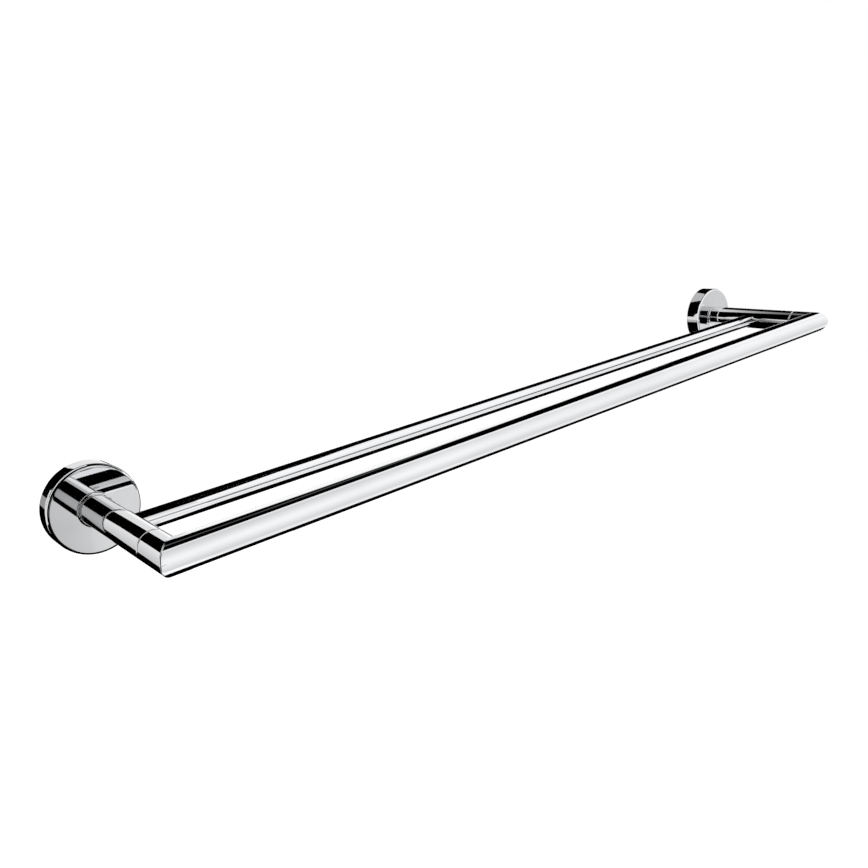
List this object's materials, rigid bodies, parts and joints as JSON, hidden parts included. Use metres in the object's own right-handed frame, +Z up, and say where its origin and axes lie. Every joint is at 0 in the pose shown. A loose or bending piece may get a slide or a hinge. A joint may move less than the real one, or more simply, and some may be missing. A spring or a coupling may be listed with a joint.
{
  "type": "towel rack",
  "caption": "Wall-mounted towel rail: a thick mitred front tube and a thinner rear tube on arms with round rosettes that hide their fixings.",
  "frame": {"origin": "on the wall plane, midway between the two rosettes and level with the tube axes, which is the centre of the four wall screws", "axes": "+X along the rails to the right as seen from the room, +Y into the wall, +Z up"},
  "size_m": [0.6626, 0.122, 0.0524],
  "materials": {
    "chrome_rails": "polished chrome plate on brass tube",
    "chrome_arms": "polished chrome plate on brass tube and turned brass",
    "chrome_rosettes": "polished chrome plate on turned brass",
    "zinc_plate": "plain cast zinc, turned on its rim",
    "screw_steel": "bright stainless steel",
    "turned_brass": "plain turned brass"
  },
  "bodies": {
    "root": {"left_wall_plate": "zinc_plate", "left_rosette": "chrome_rosettes", "left_rosette_set_screw": "screw_steel", "left_arm_foot": "chrome_arms", "left_foot_washer": "screw_steel", "left_foot_screw": "screw_steel", "left_arm_tube": "chrome_arms", "left_rail_peg": "turned_brass", "left_corner_connector": "turned_brass", "left_corner_stub": "chrome_arms", "right_wall_plate": "zinc_plate", "right_rosette": "chrome_rosettes", "right_rosette_set_screw": "screw_steel", "right_arm_foot": "chrome_arms", "right_foot_washer": "screw_steel", "right_foot_screw": "screw_steel", "right_arm_tube": "chrome_arms", "right_rail_peg": "turned_brass", "right_corner_connector": "turned_brass", "right_corner_stub": "chrome_arms", "front_rail": "chrome_rails", "rear_rail": "chrome_rails"}
  },
  "joints": []
}
